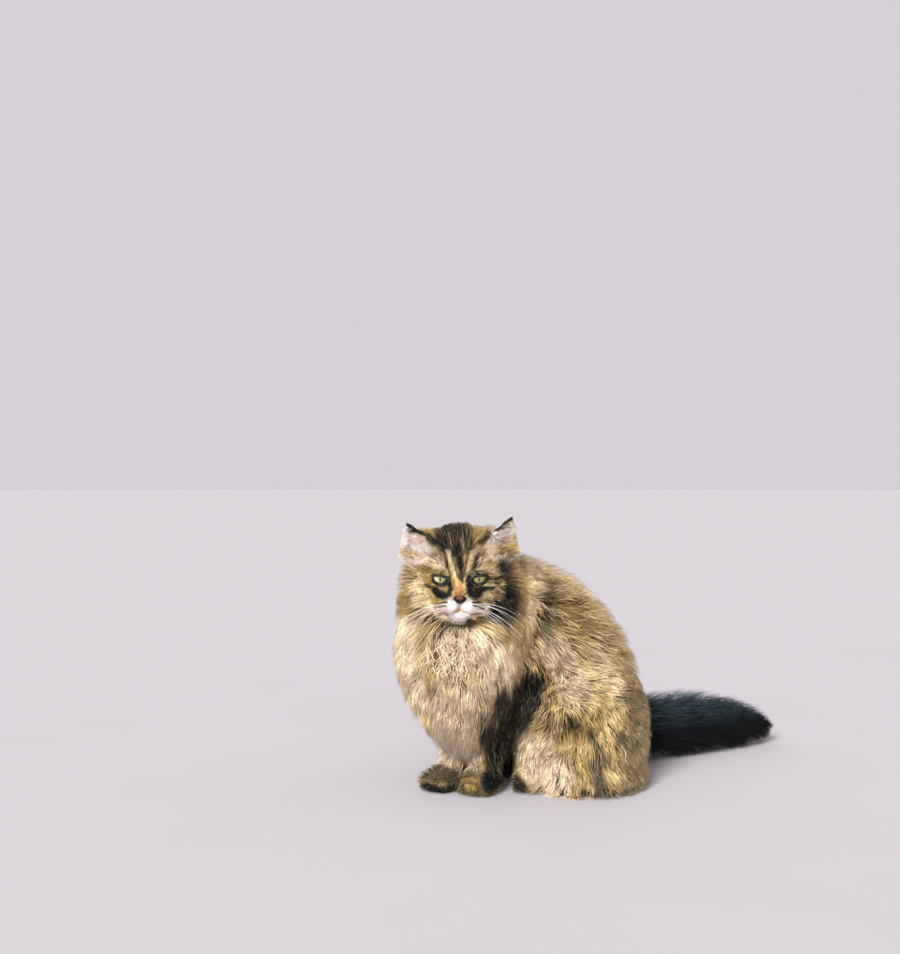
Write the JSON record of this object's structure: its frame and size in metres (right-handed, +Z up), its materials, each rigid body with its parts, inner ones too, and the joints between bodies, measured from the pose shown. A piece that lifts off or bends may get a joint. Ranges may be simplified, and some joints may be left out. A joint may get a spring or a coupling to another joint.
{
  "type": "seated persian cat model",
  "caption": "Life-size still model of a long-haired tabby Persian cat, seated with its face turned to the viewer and its plumed tail laid out behind.",
  "frame": {"origin": "middle of the whole model's box, on the ground it sits on", "axes": "+Z up; the face looks along -Y; +X is to the cat's own left, where the body and tail turn away"},
  "size_m": [0.6041, 0.4384, 0.3789],
  "materials": {
    "coat_golden": "matte",
    "coat_pale": "matte",
    "coat_face": "matte",
    "coat_dark": "matte",
    "coat_black": "matte",
    "skin": "matte",
    "eye": "gloss",
    "nose_leather": "satin",
    "whisker": "satin"
  },
  "bodies": {
    "root": {"head": "coat_face", "neck": "coat_pale", "trunk": "coat_golden", "ear_left": "coat_pale", "ear_right": "coat_pale", "eye_left": "eye", "eye_right": "eye", "nose": "nose_leather", "front_leg_left": "coat_pale", "front_leg_right": "coat_pale", "front_paw_left": "coat_dark", "front_paw_right": "coat_dark", "hind_leg_left": "coat_golden", "hind_leg_right": "coat_golden", "hind_paw_left": "coat_dark", "hind_paw_right": "coat_dark", "tail_root": "coat_black", "tail_plume": "coat_black"}
  },
  "joints": []
}
